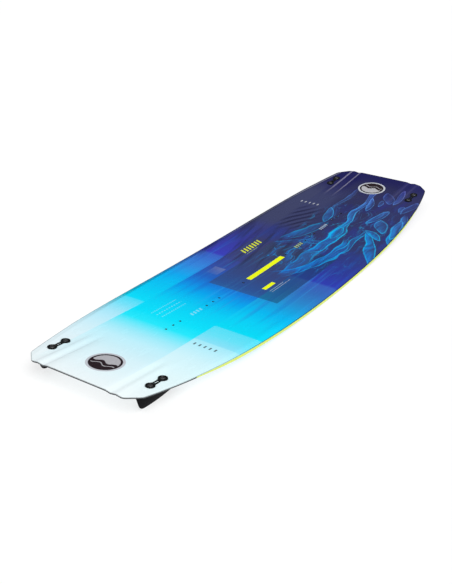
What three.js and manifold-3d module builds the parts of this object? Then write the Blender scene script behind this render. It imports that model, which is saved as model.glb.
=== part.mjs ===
// A twin-tip kiteboard without its bindings: a printed top sheet, two glass laminates, a wood core
// and a base sheet, edged with plastic rails, and four corner fins screwed on from the deck through
// dog-bone washers. Millimetres. +X runs along the board to its nose, +Y to its left, +Z up.
// The origin is on the ground under the board's centre: the board stands on its four fin tips.

import * as THREE from "three";
import { mergeVertices } from "three/addons/utils/BufferGeometryUtils.js";
import Module from "manifold-3d";

// Outline, seen from above: curved sides, chamfered corners, straight tips.
const LENGTH = 1380;
const WIDTH = 405;
const SIDE_CORNER_X = 664;
const SIDE_CORNER_Y = 144.7;
const TIP_CORNER_Y = 117;
const QUARTIC_SHARE = 0.53; // how much of the side curve gathers towards the tips
const TIP_X = LENGTH / 2;

// Rocker: how far the tips rise above the middle.
const ROCKER = 40;
const ROCKER_POWER = 2.03;

// Section: the edge, the bevel inside it, the deck's crown and the base's concave.
const EDGE_THICKNESS = 7;
const TIP_THICKNESS = 3;
const BEVEL_WIDTH = 14;
const TIP_BEVEL_WIDTH = 1.5;
const BEVEL_RISE = 2;
const TIP_BEVEL_RISE = 0.3;
const CROWN = 0.6;
const TIP_CROWN = 0.2;
const CONCAVE = 0.6;
const TAPER_START = 400;
const TAPER_END = 565;

// Moulded steps at each tip: [distance from the centre line, height].
const CHANNEL_PROFILE = [
  [0, 1.2],
  [75, 1.2],
  [86, -1.2],
  [100, 1],
  [112, -0.9],
];
const CHANNEL_START = 500;
const CHANNEL_END = 565;

// Layers.
const TOP_SHEET = 0.4;
const LAMINATE = 0.5;
const BASE_SHEET = 0.5;
const BOND = 0.1; // resin line between two layers
const GAP = 0.3; // clearance between neighbours that meet edge to edge

// Rails: the outer lip shows between the two sheets, the rest is clamped by the laminates.
const RAIL_WIDTH = 9;
const RAIL_LIP = 3;
const RAIL_CORNER_OVERLAP = 1; // how far from the edge the clamped part starts, inside the lip
const RAIL_END_X = 533;

// Fins and their fasteners.
const FIN_X = 601.85;
const FIN_Y = 127;
const FIN_LENGTH = 126;
const FIN_DEPTH = 36.5;
// Its side view from the inner end round to the outer one, as quadratic curves: the control
// point and the end of each, as [distance from the fin's outer end, depth].
const FIN_CURVES = [
  [[123, 26], [109, 29.2]],
  [[67, FIN_DEPTH], [28, FIN_DEPTH]],
  [[14, FIN_DEPTH], [9.5, 24]],
];
const FIN_ROOT = 14;
const FIN_EDGE = 6;
const FIN_LENS_EXTRA = 16; // how far the lens of its plan runs past each end
const FIN_SCREW_SPREAD = 19.65; // half the distance between the two screws of a fin
const SCREW_RADIUS = 3;
const SCREW_HOLE_RADIUS = 3.5;
const SCREW_LENGTH = 17;
const SCREW_HEAD_RADIUS = 5.7;
const SCREW_HEAD_HEIGHT = 1.9;
const SOCKET_RADIUS = 2.3;
const SOCKET_DEPTH = 1.3;
const FIN_INSERT_RADIUS = 4.3;
const FIN_INSERT_LENGTH = 11;
const WASHER_THICKNESS = 2.8;
const WASHER_LOBE_RADIUS = 10.2;
const WASHER_NECK_HALF = 4.9;
const WASHER_NECK_THICKNESS = 1.6;
const WASHER_SEAT_RADIUS = 6.1;
const WASHER_SLIT_LENGTH = 14;
const WASHER_SLIT_WIDTH = 3;

// Threaded inserts for the bindings and the grab handle.
const STANCE_HALF = 304.8;
const INSERT_GROUP_HALF = 76.2;
const INSERT_PITCH = 25.4;
const HANDLE_HALF = 100;
const INSERT_LENGTH = 6.3;
const INSERT_RADIUS = 5;
const INSERT_BORE_RADIUS = 2.6;
const DECK_HOLE_RADIUS = 3.3;
const INSERT_FLANGE_RADIUS = 8;
const INSERT_FLANGE = 1.2;
const INSERT_FLOOR = 0.8;

// Facets.
const HALF_STATIONS = [100, 200, 300, 400, 470, 530, 568, 636, SIDE_CORNER_X, TIP_X];
const ROUND_SIDES = 8;
const ARC_STEPS = 4;
const MERGE_DISTANCE = 1e-4;
const CUTTER_REACH = 60; // how far a cutter runs past what it cuts

const wasm = await Module();
wasm.setup();

// ---- Outline and heights, all relative to the deck's edge at the board's middle ----

function halfWidth(x) {
  const reach = Math.abs(x);
  if (reach > SIDE_CORNER_X) {
    const along = (reach - SIDE_CORNER_X) / (TIP_X - SIDE_CORNER_X);
    return THREE.MathUtils.lerp(SIDE_CORNER_Y, TIP_CORNER_Y, along);
  }
  const u = reach / SIDE_CORNER_X;
  const narrowing = (1 - QUARTIC_SHARE) * u ** 2 + QUARTIC_SHARE * u ** 4;
  return WIDTH / 2 - (WIDTH / 2 - SIDE_CORNER_Y) * narrowing;
}

function taper(x, middle, tip) {
  const along = THREE.MathUtils.smoothstep(Math.abs(x), TAPER_START, TAPER_END);
  return THREE.MathUtils.lerp(middle, tip, along);
}

function rocker(x) {
  return ROCKER * (Math.abs(x) / TIP_X) ** ROCKER_POWER;
}

function rockerSlope(x) {
  return (ROCKER * ROCKER_POWER / TIP_X) * (Math.abs(x) / TIP_X) ** (ROCKER_POWER - 1);
}

function channelRelief(x, y) {
  const reach = Math.abs(y);
  const next = CHANNEL_PROFILE.findIndex(([distance]) => distance > reach);
  let relief = CHANNEL_PROFILE.at(-1)[1];
  if (next > 0) {
    const [nearY, nearZ] = CHANNEL_PROFILE[next - 1];
    const [farY, farZ] = CHANNEL_PROFILE[next];
    relief = THREE.MathUtils.mapLinear(reach, nearY, farY, nearZ, farZ);
  }
  return relief * THREE.MathUtils.smoothstep(Math.abs(x), CHANNEL_START, CHANNEL_END);
}

function bevelWidth(x) {
  const along = THREE.MathUtils.smoothstep(Math.abs(x), CHANNEL_START, TIP_X);
  return THREE.MathUtils.lerp(BEVEL_WIDTH, TIP_BEVEL_WIDTH, along);
}

// 1 on the centre line, 0 at the edge.
function across(x, y) {
  return 1 - (y / halfWidth(x)) ** 2;
}

function deckHeight(x, y) {
  const inward = (halfWidth(x) - Math.abs(y)) / bevelWidth(x);
  const bevel = taper(x, BEVEL_RISE, TIP_BEVEL_RISE) * THREE.MathUtils.clamp(inward, 0, 1);
  const crown = taper(x, CROWN, TIP_CROWN) * across(x, y);
  return rocker(x) + channelRelief(x, y) + bevel + crown;
}

function baseHeight(x, y) {
  const concave = taper(x, CONCAVE, 0) * across(x, y);
  return rocker(x) + channelRelief(x, y) - taper(x, EDGE_THICKNESS, TIP_THICKNESS) + concave;
}

const belowDeck = (depth) => (x, y) => deckHeight(x, y) - depth;
const aboveBase = (height) => (x, y) => baseHeight(x, y) + height;

// ---- Solids ----

function toSolid(geometry) {
  const bare = new THREE.BufferGeometry();
  bare.setAttribute("position", geometry.getAttribute("position"));
  bare.setIndex(geometry.getIndex());
  const merged = mergeVertices(bare, MERGE_DISTANCE);
  return new wasm.Manifold(
    new wasm.Mesh({
      numProp: 3,
      vertProperties: merged.getAttribute("position").array,
      triVerts: Uint32Array.from(merged.getIndex().array),
    }),
  );
}

function toGeometry(solid) {
  const { vertProperties, triVerts } = solid.getMesh();
  const geometry = new THREE.BufferGeometry();
  geometry.setAttribute("position", new THREE.BufferAttribute(vertProperties, 3));
  geometry.setIndex(new THREE.BufferAttribute(triVerts, 1));
  geometry.computeVertexNormals();
  return geometry;
}

function subtractAll(solid, cutters) {
  return cutters.reduce((cut, cutter) => cut.subtract(cutter), solid);
}

// A round solid about Z from a closed [radius, height] profile, listed anticlockwise.
function turned(profile) {
  const points = profile.map(([radius, height]) => new THREE.Vector2(radius, height));
  return new THREE.LatheGeometry(points, ROUND_SIDES).rotateX(Math.PI / 2);
}

function rod(radius, low, high) {
  return turned([
    [0, low],
    [radius, low],
    [radius, high],
    [0, high],
  ]);
}

function extruded(shape, depth) {
  const options = { depth, bevelEnabled: false, curveSegments: ARC_STEPS };
  return new THREE.ExtrudeGeometry(shape, options);
}

// Places along the board, and across it at one place: the channel lines, the bevel and the edge.
const STATIONS = [...HALF_STATIONS.map((x) => -x).reverse(), 0, ...HALF_STATIONS];

function rowAcross(x) {
  const edge = halfWidth(x);
  const lines = CHANNEL_PROFILE.map(([distance]) => distance);
  const left = [...lines.slice(1), edge - bevelWidth(x), edge];
  return [...left.map((y) => -y).reverse(), 0, ...left];
}

// A layer over the whole outline between two height functions.
function layer(top, bottom) {
  const plan = STATIONS.flatMap((x) => rowAcross(x).map((y) => [x, y]));
  const rowLength = rowAcross(0).length;
  const lastRow = (STATIONS.length - 1) * rowLength;
  const below = plan.length; // index of the first vertex of the underside
  const positions = [
    ...plan.flatMap(([x, y]) => [x, y, top(x, y)]),
    ...plan.flatMap(([x, y]) => [x, y, bottom(x, y)]),
  ];
  const index = [];
  for (let row = 0; row < lastRow; row += rowLength) {
    for (let a = row; a < row + rowLength - 1; a += 1) {
      const b = a + rowLength;
      index.push(a, b, b + 1, a, b + 1, a + 1);
      index.push(below + a, below + b + 1, below + b, below + a, below + a + 1, below + b + 1);
    }
  }
  const wall = (from, to) => {
    index.push(below + from, below + to, to, below + from, to, from);
  };
  for (let row = 0; row < lastRow; row += rowLength) {
    wall(row, row + rowLength);
    wall(row + 2 * rowLength - 1, row + rowLength - 1);
  }
  for (let column = 0; column < rowLength - 1; column += 1) {
    wall(column + 1, column);
    wall(lastRow + column, lastRow + column + 1);
  }
  const geometry = new THREE.BufferGeometry();
  geometry.setAttribute("position", new THREE.Float32BufferAttribute(positions, 3));
  geometry.setIndex(index);
  return toSolid(geometry);
}

// An upright prism over the outline, moved inwards by the inset.
function outlinePrism(inset) {
  const right = STATIONS.map((x) => new THREE.Vector2(x, -halfWidth(x)));
  const left = STATIONS.toReversed().map((x) => new THREE.Vector2(x, halfWidth(x)));
  const outline = [...right, ...left];
  const inwardNormal = (from, to) => {
    const along = to.clone().sub(from).normalize();
    return new THREE.Vector2(-along.y, along.x);
  };
  const moved = outline.map((point, i) => {
    const before = inwardNormal(outline.at(i - 1), point);
    const after = inwardNormal(point, outline[(i + 1) % outline.length]);
    const miter = before.clone().add(after).divideScalar(1 + before.dot(after));
    return point.clone().addScaledVector(miter, inset);
  });
  const prism = extruded(new THREE.Shape(moved), ROCKER + 2 * CUTTER_REACH);
  return toSolid(prism.translate(0, 0, -CUTTER_REACH));
}

function box(lowX, highX, lowY, highY) {
  const geometry = new THREE.BoxGeometry(highX - lowX, highY - lowY, 4 * CUTTER_REACH);
  return toSolid(geometry.translate((lowX + highX) / 2, (lowY + highY) / 2, 0));
}

// ---- Places on the deck ----

// A group on the deck with Z along the deck's normal and X towards the nearer tip.
function deckFrame(x, y) {
  const frame = new THREE.Group();
  frame.position.set(x, y, deckHeight(x, y));
  frame.rotation.set(0, -Math.atan(rockerSlope(x)), x < 0 ? Math.PI : 0, "ZYX");
  frame.updateMatrix();
  return frame;
}

// A copy of a geometry made in a frame's axes, as a solid in the board's axes.
function placed(geometry, frame) {
  return toSolid(geometry.clone().applyMatrix4(frame.matrix));
}

const ENDS = [
  { end: "tail", sign: -1 },
  { end: "nose", sign: 1 },
];
const SIDES = [
  { side: "left", sign: 1 },
  { side: "right", sign: -1 },
];

const finSets = ENDS.flatMap((end) =>
  SIDES.map((side) => ({
    name: `${end.end}_${side.side}`,
    frame: deckFrame(end.sign * FIN_X, side.sign * FIN_Y),
  })),
);

// Two groups of three inserts for each foot, numbered outwards from the board's middle.
const bindingReaches = [-1, 1].flatMap((group) =>
  [-1, 0, 1].map((place) => STANCE_HALF + group * INSERT_GROUP_HALF + place * INSERT_PITCH),
);

const bindingInserts = ENDS.flatMap(({ end, sign }) =>
  bindingReaches.map((reach, i) => ({
    name: `binding_insert_${end}_${i + 1}`,
    frame: deckFrame(sign * reach, 0),
  })),
);

const handleInserts = ENDS.map(({ end, sign }) => ({
  name: `handle_insert_${end}`,
  frame: deckFrame(sign * HANDLE_HALF, 0),
}));

const inserts = [...bindingInserts, ...handleInserts];

// ---- The board's layers ----

const screwPlaces = [FIN_SCREW_SPREAD, -FIN_SCREW_SPREAD];

function screwHoles() {
  const hole = rod(SCREW_HOLE_RADIUS, -CUTTER_REACH, CUTTER_REACH);
  return finSets.flatMap(({ frame }) =>
    screwPlaces.map((x) => placed(hole.clone().translate(x, 0, 0), frame)),
  );
}

const underTopSheet = TOP_SHEET + BOND;
const underTopLaminate = underTopSheet + LAMINATE + BOND;
const overBaseSheet = BASE_SHEET + BOND;
const overBaseLaminate = overBaseSheet + LAMINATE + BOND;
const insertTop = -(underTopLaminate + BOND);
const insertBottom = insertTop - INSERT_LENGTH;

function deckMouths() {
  const mouth = rod(DECK_HOLE_RADIUS, -CUTTER_REACH, CUTTER_REACH);
  return inserts.map(({ frame }) => placed(mouth, frame));
}

function insertPockets() {
  const flangeTop = insertBottom + INSERT_FLANGE + GAP;
  const neck = rod(INSERT_RADIUS + GAP, -CUTTER_REACH, CUTTER_REACH);
  const flange = rod(INSERT_FLANGE_RADIUS + GAP, -CUTTER_REACH, flangeTop);
  return inserts.flatMap(({ frame }) => [placed(neck, frame), placed(flange, frame)]);
}

const throughHoles = screwHoles();
const deckHoles = [...throughHoles, ...deckMouths()];

function topSheet() {
  return subtractAll(layer(deckHeight, belowDeck(TOP_SHEET)), deckHoles);
}

function topLaminate() {
  const sheet = layer(belowDeck(underTopSheet), belowDeck(underTopSheet + LAMINATE));
  return subtractAll(sheet.intersect(outlinePrism(RAIL_LIP + GAP)), deckHoles);
}

function baseLaminate() {
  const sheet = layer(aboveBase(overBaseSheet + LAMINATE), aboveBase(overBaseSheet));
  return subtractAll(sheet.intersect(outlinePrism(RAIL_LIP + GAP)), throughHoles);
}

function baseSheet() {
  return subtractAll(layer(aboveBase(BASE_SHEET), baseHeight), throughHoles);
}

const betweenLaminates = layer(belowDeck(underTopLaminate), aboveBase(overBaseLaminate));

function woodCore() {
  const blank = betweenLaminates.intersect(outlinePrism(RAIL_WIDTH + GAP));
  return subtractAll(blank, [...throughHoles, ...insertPockets()]);
}

// The plastic edging all round, before it is cut into two rails and two tip pieces.
function edging() {
  const betweenSheets = layer(belowDeck(underTopSheet), aboveBase(overBaseSheet));
  const lip = betweenSheets.subtract(outlinePrism(RAIL_LIP));
  const clamped = betweenLaminates
    .intersect(outlinePrism(RAIL_CORNER_OVERLAP))
    .subtract(outlinePrism(RAIL_WIDTH));
  return lip.add(clamped);
}

// ---- Fins, washers, screws and inserts, each in its deck frame's axes ----

const boardAtFin = deckHeight(FIN_X, FIN_Y) - baseHeight(FIN_X, FIN_Y);
const finTop = -(boardAtFin + GAP);

// The fin seen from the side, swept: deepest near the tip of the board.
function finOutline() {
  const at = ([fromOuterEnd, depth]) => [FIN_LENGTH / 2 - fromOuterEnd, -depth];
  const shape = new THREE.Shape();
  shape.moveTo(...at([0, 0]));
  shape.lineTo(...at([FIN_LENGTH, 0]));
  FIN_CURVES.forEach(([control, end]) => shape.quadraticCurveTo(...at(control), ...at(end)));
  return shape;
}

// The fin's section across: thick at the root for the threaded inserts, thin at the edge.
function finTaper() {
  return new THREE.Shape([
    new THREE.Vector2(-FIN_ROOT / 2, 0),
    new THREE.Vector2(-FIN_EDGE / 2, -FIN_DEPTH),
    new THREE.Vector2(FIN_EDGE / 2, -FIN_DEPTH),
    new THREE.Vector2(FIN_ROOT / 2, 0),
  ]);
}

// The fin seen from above: a lens, longer than the fin so that its ends stay blunt.
function finLens() {
  const end = FIN_LENGTH / 2 + FIN_LENS_EXTRA;
  const shape = new THREE.Shape();
  shape.moveTo(-end, 0);
  shape.quadraticCurveTo(0, -FIN_ROOT, end, 0);
  shape.quadraticCurveTo(0, FIN_ROOT, -end, 0);
  return shape;
}

function fin() {
  const side = extruded(finOutline(), FIN_ROOT).rotateX(Math.PI / 2);
  const section = extruded(finTaper(), FIN_LENGTH);
  section.applyMatrix4(
    new THREE.Matrix4().makeBasis(
      new THREE.Vector3(0, 1, 0),
      new THREE.Vector3(0, 0, 1),
      new THREE.Vector3(1, 0, 0),
    ),
  );
  const plan = extruded(finLens(), FIN_DEPTH + 2);
  const blade = toSolid(side.translate(0, FIN_ROOT / 2, 0))
    .intersect(toSolid(section.translate(-FIN_LENGTH / 2, 0, 0)))
    .intersect(toSolid(plan.translate(0, 0, -FIN_DEPTH - 1)));
  const pocket = rod(FIN_INSERT_RADIUS + GAP, -FIN_INSERT_LENGTH - GAP, 1);
  const pockets = screwPlaces.map((x) => toSolid(pocket.clone().translate(x, 0, 0)));
  return toGeometry(subtractAll(blade, pockets)).translate(0, 0, finTop);
}

function finInsert() {
  const top = finTop - GAP;
  return turned([
    [SCREW_RADIUS + GAP, top],
    [SCREW_RADIUS + GAP, top - FIN_INSERT_LENGTH + GAP],
    [FIN_INSERT_RADIUS, top - FIN_INSERT_LENGTH + GAP],
    [FIN_INSERT_RADIUS, top],
    [SCREW_RADIUS + GAP, top],
  ]);
}

function washerOutline() {
  const meet = Math.asin(WASHER_NECK_HALF / WASHER_LOBE_RADIUS);
  const shape = new THREE.Shape();
  shape.absarc(FIN_SCREW_SPREAD, 0, WASHER_LOBE_RADIUS, meet - Math.PI, Math.PI - meet);
  shape.absarc(-FIN_SCREW_SPREAD, 0, WASHER_LOBE_RADIUS, meet, 2 * Math.PI - meet);
  shape.closePath();
  return shape;
}

function washerSlit() {
  const radius = WASHER_SLIT_WIDTH / 2;
  const reach = WASHER_SLIT_LENGTH / 2 - radius;
  const slit = new THREE.Path();
  slit.absarc(reach, 0, radius, -Math.PI / 2, Math.PI / 2);
  slit.absarc(-reach, 0, radius, Math.PI / 2, 1.5 * Math.PI);
  slit.closePath();
  return slit;
}

const washerTop = GAP + WASHER_THICKNESS;

// What is cut away above the washer's thin neck.
function overNeck() {
  const reach = FIN_SCREW_SPREAD - Math.sqrt(WASHER_LOBE_RADIUS ** 2 - WASHER_NECK_HALF ** 2);
  const height = WASHER_THICKNESS;
  const middle = GAP + WASHER_NECK_THICKNESS + height / 2;
  return new THREE.BoxGeometry(2 * reach, 4 * WASHER_NECK_HALF, height).translate(0, 0, middle);
}

function finWasher() {
  const shape = washerOutline();
  shape.holes.push(washerSlit());
  const blank = toSolid(extruded(shape, WASHER_THICKNESS).translate(0, 0, GAP));
  const plate = blank.subtract(toSolid(overNeck()));
  const seatFloor = washerTop - SCREW_HEAD_HEIGHT - GAP;
  const holes = screwPlaces.flatMap((x) => [
    toSolid(rod(SCREW_HOLE_RADIUS, -1, seatFloor + 1).translate(x, 0, 0)),
    toSolid(rod(WASHER_SEAT_RADIUS, seatFloor, washerTop + 1).translate(x, 0, 0)),
  ]);
  return toGeometry(subtractAll(plate, holes));
}

function finScrew() {
  const top = washerTop;
  const headBottom = top - SCREW_HEAD_HEIGHT;
  return turned([
    [0, top - SCREW_LENGTH],
    [SCREW_RADIUS, top - SCREW_LENGTH],
    [SCREW_RADIUS, headBottom],
    [SCREW_HEAD_RADIUS, headBottom],
    [SCREW_HEAD_RADIUS, top],
    [SOCKET_RADIUS, top],
    [SOCKET_RADIUS, top - SOCKET_DEPTH],
    [0, top - SOCKET_DEPTH],
  ]);
}

// A blind threaded insert, clamped in the core between the laminates with its flange down.
function deckInsert() {
  return turned([
    [0, insertBottom],
    [INSERT_FLANGE_RADIUS, insertBottom],
    [INSERT_FLANGE_RADIUS, insertBottom + INSERT_FLANGE],
    [INSERT_RADIUS, insertBottom + INSERT_FLANGE],
    [INSERT_RADIUS, insertTop],
    [INSERT_BORE_RADIUS, insertTop],
    [INSERT_BORE_RADIUS, insertBottom + INSERT_FLOOR],
    [0, insertBottom + INSERT_FLOOR],
  ]);
}

// ---- Materials ----

function material(color, roughness, metalness) {
  return new THREE.MeshStandardMaterial({ color, roughness, metalness });
}

const printedSheet = material(0x1f62c9, 0.25, 0);
const glassLaminate = material(0xc9d3c4, 0.4, 0);
const paulownia = material(0xd9b98a, 0.75, 0);
const printedBase = material(0x2a6fd0, 0.3, 0);
const limeRail = material(0xdfee1b, 0.45, 0);
const blackEdge = material(0x2b2e33, 0.5, 0);
const blackNylon = material(0x131416, 0.45, 0);
const blackPlastic = material(0x1b1d1f, 0.6, 0);
const blackSteel = material(0x2d2f33, 0.35, 0.9);
const brass = material(0xb08d4a, 0.35, 1);
const stainless = material(0x9fa4a8, 0.3, 1);

// ---- Assembly ----

function named(name, geometry, look) {
  const mesh = new THREE.Mesh(geometry, look);
  mesh.name = name;
  return mesh;
}

function boardBody() {
  const rim = edging();
  const railReach = RAIL_END_X - GAP / 2;
  const tipReach = RAIL_END_X + GAP / 2;
  const body = new THREE.Group();
  body.add(
    named("top_sheet", toGeometry(topSheet()), printedSheet),
    named("top_laminate", toGeometry(topLaminate()), glassLaminate),
    named("wood_core", toGeometry(woodCore()), paulownia),
    named("bottom_laminate", toGeometry(baseLaminate()), glassLaminate),
    named("base_sheet", toGeometry(baseSheet()), printedBase),
  );
  const cut = (cutter) => toGeometry(rim.intersect(cutter));
  body.add(
    named("rail_left", cut(box(-railReach, railReach, 0, WIDTH)), limeRail),
    named("rail_right", cut(box(-railReach, railReach, -WIDTH, 0)), limeRail),
    named("tip_rail_tail", cut(box(-LENGTH, -tipReach, -WIDTH, WIDTH)), blackEdge),
    named("tip_rail_nose", cut(box(tipReach, LENGTH, -WIDTH, WIDTH)), blackEdge),
  );
  return body;
}

function finSet({ name, frame }) {
  frame.add(named(`fin_${name}`, fin(), blackNylon));
  frame.add(named(`fin_washer_${name}`, finWasher(), blackPlastic));
  screwPlaces.forEach((x, i) => {
    const place = i === 0 ? "outer" : "inner";
    frame.add(
      named(`fin_screw_${name}_${place}`, finScrew().translate(x, 0, 0), blackSteel),
      named(`fin_insert_${name}_${place}`, finInsert().translate(x, 0, 0), brass),
    );
  });
  return frame;
}

function insertAt({ name, frame }) {
  frame.add(named(name, deckInsert(), stainless));
  return frame;
}

const board = new THREE.Group();
board.add(boardBody(), ...finSets.map(finSet), ...inserts.map(insertAt));

// Stand the board on its fin tips.
board.position.z = -new THREE.Box3().setFromObject(board, true).min.z;

const kiteboard = new THREE.Group();
kiteboard.add(board);

export default kiteboard;
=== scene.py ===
"""Fine meshes and materials for a twin-tip kiteboard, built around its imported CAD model.

The design is in millimetres in the CAD's frame, +X to the nose, +Y to the left and +Z up, and
turns into metres where a mesh is made. Heights on the board are measured from the deck's edge at
the board's middle. The prints are worked out in the materials' nodes, also in millimetres.
"""

import math

import bmesh
import bpy
import numpy as np
from mathutils import Matrix, Vector
from mathutils.geometry import delaunay_2d_cdt


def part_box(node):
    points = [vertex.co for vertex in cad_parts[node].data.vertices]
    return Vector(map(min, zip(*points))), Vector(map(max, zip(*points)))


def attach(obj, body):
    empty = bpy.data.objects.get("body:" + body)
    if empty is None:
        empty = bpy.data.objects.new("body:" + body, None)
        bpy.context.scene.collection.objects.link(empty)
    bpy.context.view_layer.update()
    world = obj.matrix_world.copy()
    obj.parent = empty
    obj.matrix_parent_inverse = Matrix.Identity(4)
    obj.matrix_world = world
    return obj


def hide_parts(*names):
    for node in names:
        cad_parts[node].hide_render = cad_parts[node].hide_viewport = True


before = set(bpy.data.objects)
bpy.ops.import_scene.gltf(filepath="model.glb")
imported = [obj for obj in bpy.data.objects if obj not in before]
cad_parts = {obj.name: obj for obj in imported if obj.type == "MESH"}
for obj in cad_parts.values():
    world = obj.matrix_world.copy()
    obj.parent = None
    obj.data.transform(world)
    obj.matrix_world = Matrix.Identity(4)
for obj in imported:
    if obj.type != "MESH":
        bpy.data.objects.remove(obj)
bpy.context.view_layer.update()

MM = 0.001
scene = bpy.context.scene

# ---- The board's shape, in millimetres ----

_, sheet_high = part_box("top_sheet")
TIP_X = sheet_high.x / MM
HALF_WIDTH = sheet_high.y / MM

# Outline: curved sides, chamfered corners, straight tips.
SIDE_CORNER_X = TIP_X - 26
SIDE_CORNER_Y = 144.7
TIP_CORNER_Y = 117
QUARTIC_SHARE = 0.53
CORNER_REACH = 7

# Rocker, section and the moulded steps at the tips.
ROCKER = 40
ROCKER_POWER = 2.03
EDGE_THICKNESS = 7
TIP_THICKNESS = 3
BEVEL_WIDTH = 14
TIP_BEVEL_WIDTH = 1.5
BEVEL_RISE = 2
TIP_BEVEL_RISE = 0.3
CROWN = 0.6
TIP_CROWN = 0.2
CONCAVE = 0.6
TAPER = (400, 565)
CHANNEL_LINES = (0, 75, 86, 100, 112)
CHANNEL_RELIEF = (1.2, 1.2, -1.2, 1, -0.9)
CHANNEL_FADE = (500, 565)

# Layers and rails.
TOP_SHEET = 0.4
BASE_SHEET = 0.5
BOND = 0.1
RAIL_LIP = 3
RAIL_CHAMFER = 0.35
BASE_SETBACK = 0.9  # the base sheet's edge, trimmed back from the rail's face
RAIL_END_X = 533
RAIL_GAP = 0.15

# Holes in the deck.
SCREW_HOLE_RADIUS = 3.5
DECK_HOLE_RADIUS = 3.05

# Height of the deck's edge above the ground, at the board's middle.
EDGE_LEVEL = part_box("base_sheet")[0].z / MM + EDGE_THICKNESS


def lerp(start, end, share):
    return start + (end - start) * share


def smoothstep(value, low, high):
    share = np.clip((value - low) / (high - low), 0, 1)
    return share * share * (3 - 2 * share)


def side_half_width(along):
    """Half the width at a share of the way to the side's corner: a number, array or field."""
    square = along * along
    narrowing = square * (1 - QUARTIC_SHARE) + square * square * QUARTIC_SHARE
    return narrowing * (SIDE_CORNER_Y - HALF_WIDTH) + HALF_WIDTH


def half_width(x):
    reach = np.abs(x)
    side = side_half_width(np.minimum(reach / SIDE_CORNER_X, 1))
    past = np.clip((reach - SIDE_CORNER_X) / (TIP_X - SIDE_CORNER_X), 0, 1)
    return np.where(past > 0, lerp(SIDE_CORNER_Y, TIP_CORNER_Y, past), side)


def tapered(x, middle, tip):
    return lerp(middle, tip, smoothstep(np.abs(x), *TAPER))


def rocker(x):
    return ROCKER * (np.abs(x) / TIP_X) ** ROCKER_POWER


def rocker_angle(x):
    slope = ROCKER * ROCKER_POWER / TIP_X * (abs(x) / TIP_X) ** (ROCKER_POWER - 1)
    return math.atan(slope)


def channel_relief(x, y):
    profile = np.interp(np.abs(y), CHANNEL_LINES, CHANNEL_RELIEF)
    return profile * smoothstep(np.abs(x), *CHANNEL_FADE)


def bevel_width(x):
    return lerp(BEVEL_WIDTH, TIP_BEVEL_WIDTH, smoothstep(np.abs(x), CHANNEL_FADE[0], TIP_X))


def deck_height(x, y):
    across = 1 - (y / half_width(x)) ** 2
    inward = np.clip((half_width(x) - np.abs(y)) / bevel_width(x), 0, 1)
    bevel = tapered(x, BEVEL_RISE, TIP_BEVEL_RISE) * inward
    return rocker(x) + channel_relief(x, y) + bevel + tapered(x, CROWN, TIP_CROWN) * across


def base_height(x, y):
    across = 1 - (y / half_width(x)) ** 2
    thickness = tapered(x, EDGE_THICKNESS, TIP_THICKNESS)
    return rocker(x) + channel_relief(x, y) - thickness + tapered(x, CONCAVE, 0) * across


def raised(height, offset):
    return lambda x, y: height(x, y) + offset


# ---- Lines and loops seen from above: arrays of [x, y] ----

STEP = 12
LEAST_STEP = 1  # a point nearer than this to the end of its line is left out
SIDE_STATIONS = np.arange(0, SIDE_CORNER_X - CORNER_REACH, STEP)

# Rows along the board: on the channels' lines and halfway between them, and evenly elsewhere.
CHANNEL_ROWS = np.array(CHANNEL_LINES[1:])
BETWEEN_ROWS = (CHANNEL_ROWS[1:] + CHANNEL_ROWS[:-1]) / 2
ROW_GAP = 5  # the even rows keep this far from the channels' lines
PLAIN_ROWS = [y for y in np.arange(0, HALF_WIDTH, STEP) if min(abs(y - CHANNEL_ROWS)) > ROW_GAP]
ROWS = np.array(sorted([*PLAIN_ROWS, *CHANNEL_ROWS, *BETWEEN_ROWS]))
BEVEL_SHARES = (0.25, 0.5, 0.75, 1, 1.35)  # of the bevel's width, inwards from the edge
HOLE_MARGIN = 1.7  # the rows' points keep this many radii from a hole's centre

CORNER_STEPS = 5
HOLE_SIDES = 24


def quadratic(start, control, end, steps):
    """Points along a quadratic curve."""
    t = np.linspace(0, 1, steps)[:, None]
    return (1 - t) ** 2 * start + 2 * t * (1 - t) * control + t**2 * end


def rounded(points, reach):
    """The path with each inner corner replaced by a curve that starts and ends at that reach."""
    path = [points[0]]
    for before, corner, after in zip(points, points[1:], points[2:]):
        start = corner + (before - corner) * reach / np.linalg.norm(before - corner)
        end = corner + (after - corner) * reach / np.linalg.norm(after - corner)
        path.extend(quadratic(start, corner, end, CORNER_STEPS))
    return np.array([*path, points[-1]])


def nose_path(start_x):
    """Round the nose, from the right side at start_x to the left side at start_x."""
    side_x = [start_x, *(x for x in SIDE_STATIONS if x > start_x + LEAST_STEP)]
    side = np.array([(x, half_width(x)) for x in side_x])
    corners = [(SIDE_CORNER_X, SIDE_CORNER_Y), (TIP_X, TIP_CORNER_Y), (TIP_X, 0)]
    bend = rounded(np.array([side[-1], *corners], float), CORNER_REACH)
    tip = [(TIP_X, y) for y in ROWS[::-1] if y < bend[-2][1] - LEAST_STEP]
    left = np.concatenate([side[:-1], bend[:-1], tip])
    right = left * (1, -1)
    return np.concatenate([right, left[-2::-1]])


def side_path(end_x):
    """Along the right side from -end_x to end_x."""
    inner = [x for x in SIDE_STATIONS if 0 < x < end_x - LEAST_STEP]
    side_x = np.array([-end_x, *(-x for x in reversed(inner)), 0, *inner, end_x])
    return np.column_stack([side_x, -half_width(side_x)])


def moved_left(path, distance):
    along = np.gradient(path, axis=0)
    along /= np.linalg.norm(along, axis=1)[:, None]
    return path + distance * np.column_stack([-along[:, 1], along[:, 0]])


def board_outline(inset):
    nose = moved_left(nose_path(0), inset)
    return np.concatenate([nose[:-1], -nose[:-1]])


def circle(centre, radius, sides=HOLE_SIDES):
    """A clockwise loop, as the edge of a hole."""
    turn = np.linspace(0, -2 * math.pi, sides, endpoint=False)
    return np.array(centre) + radius * np.column_stack([np.cos(turn), np.sin(turn)])


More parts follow.
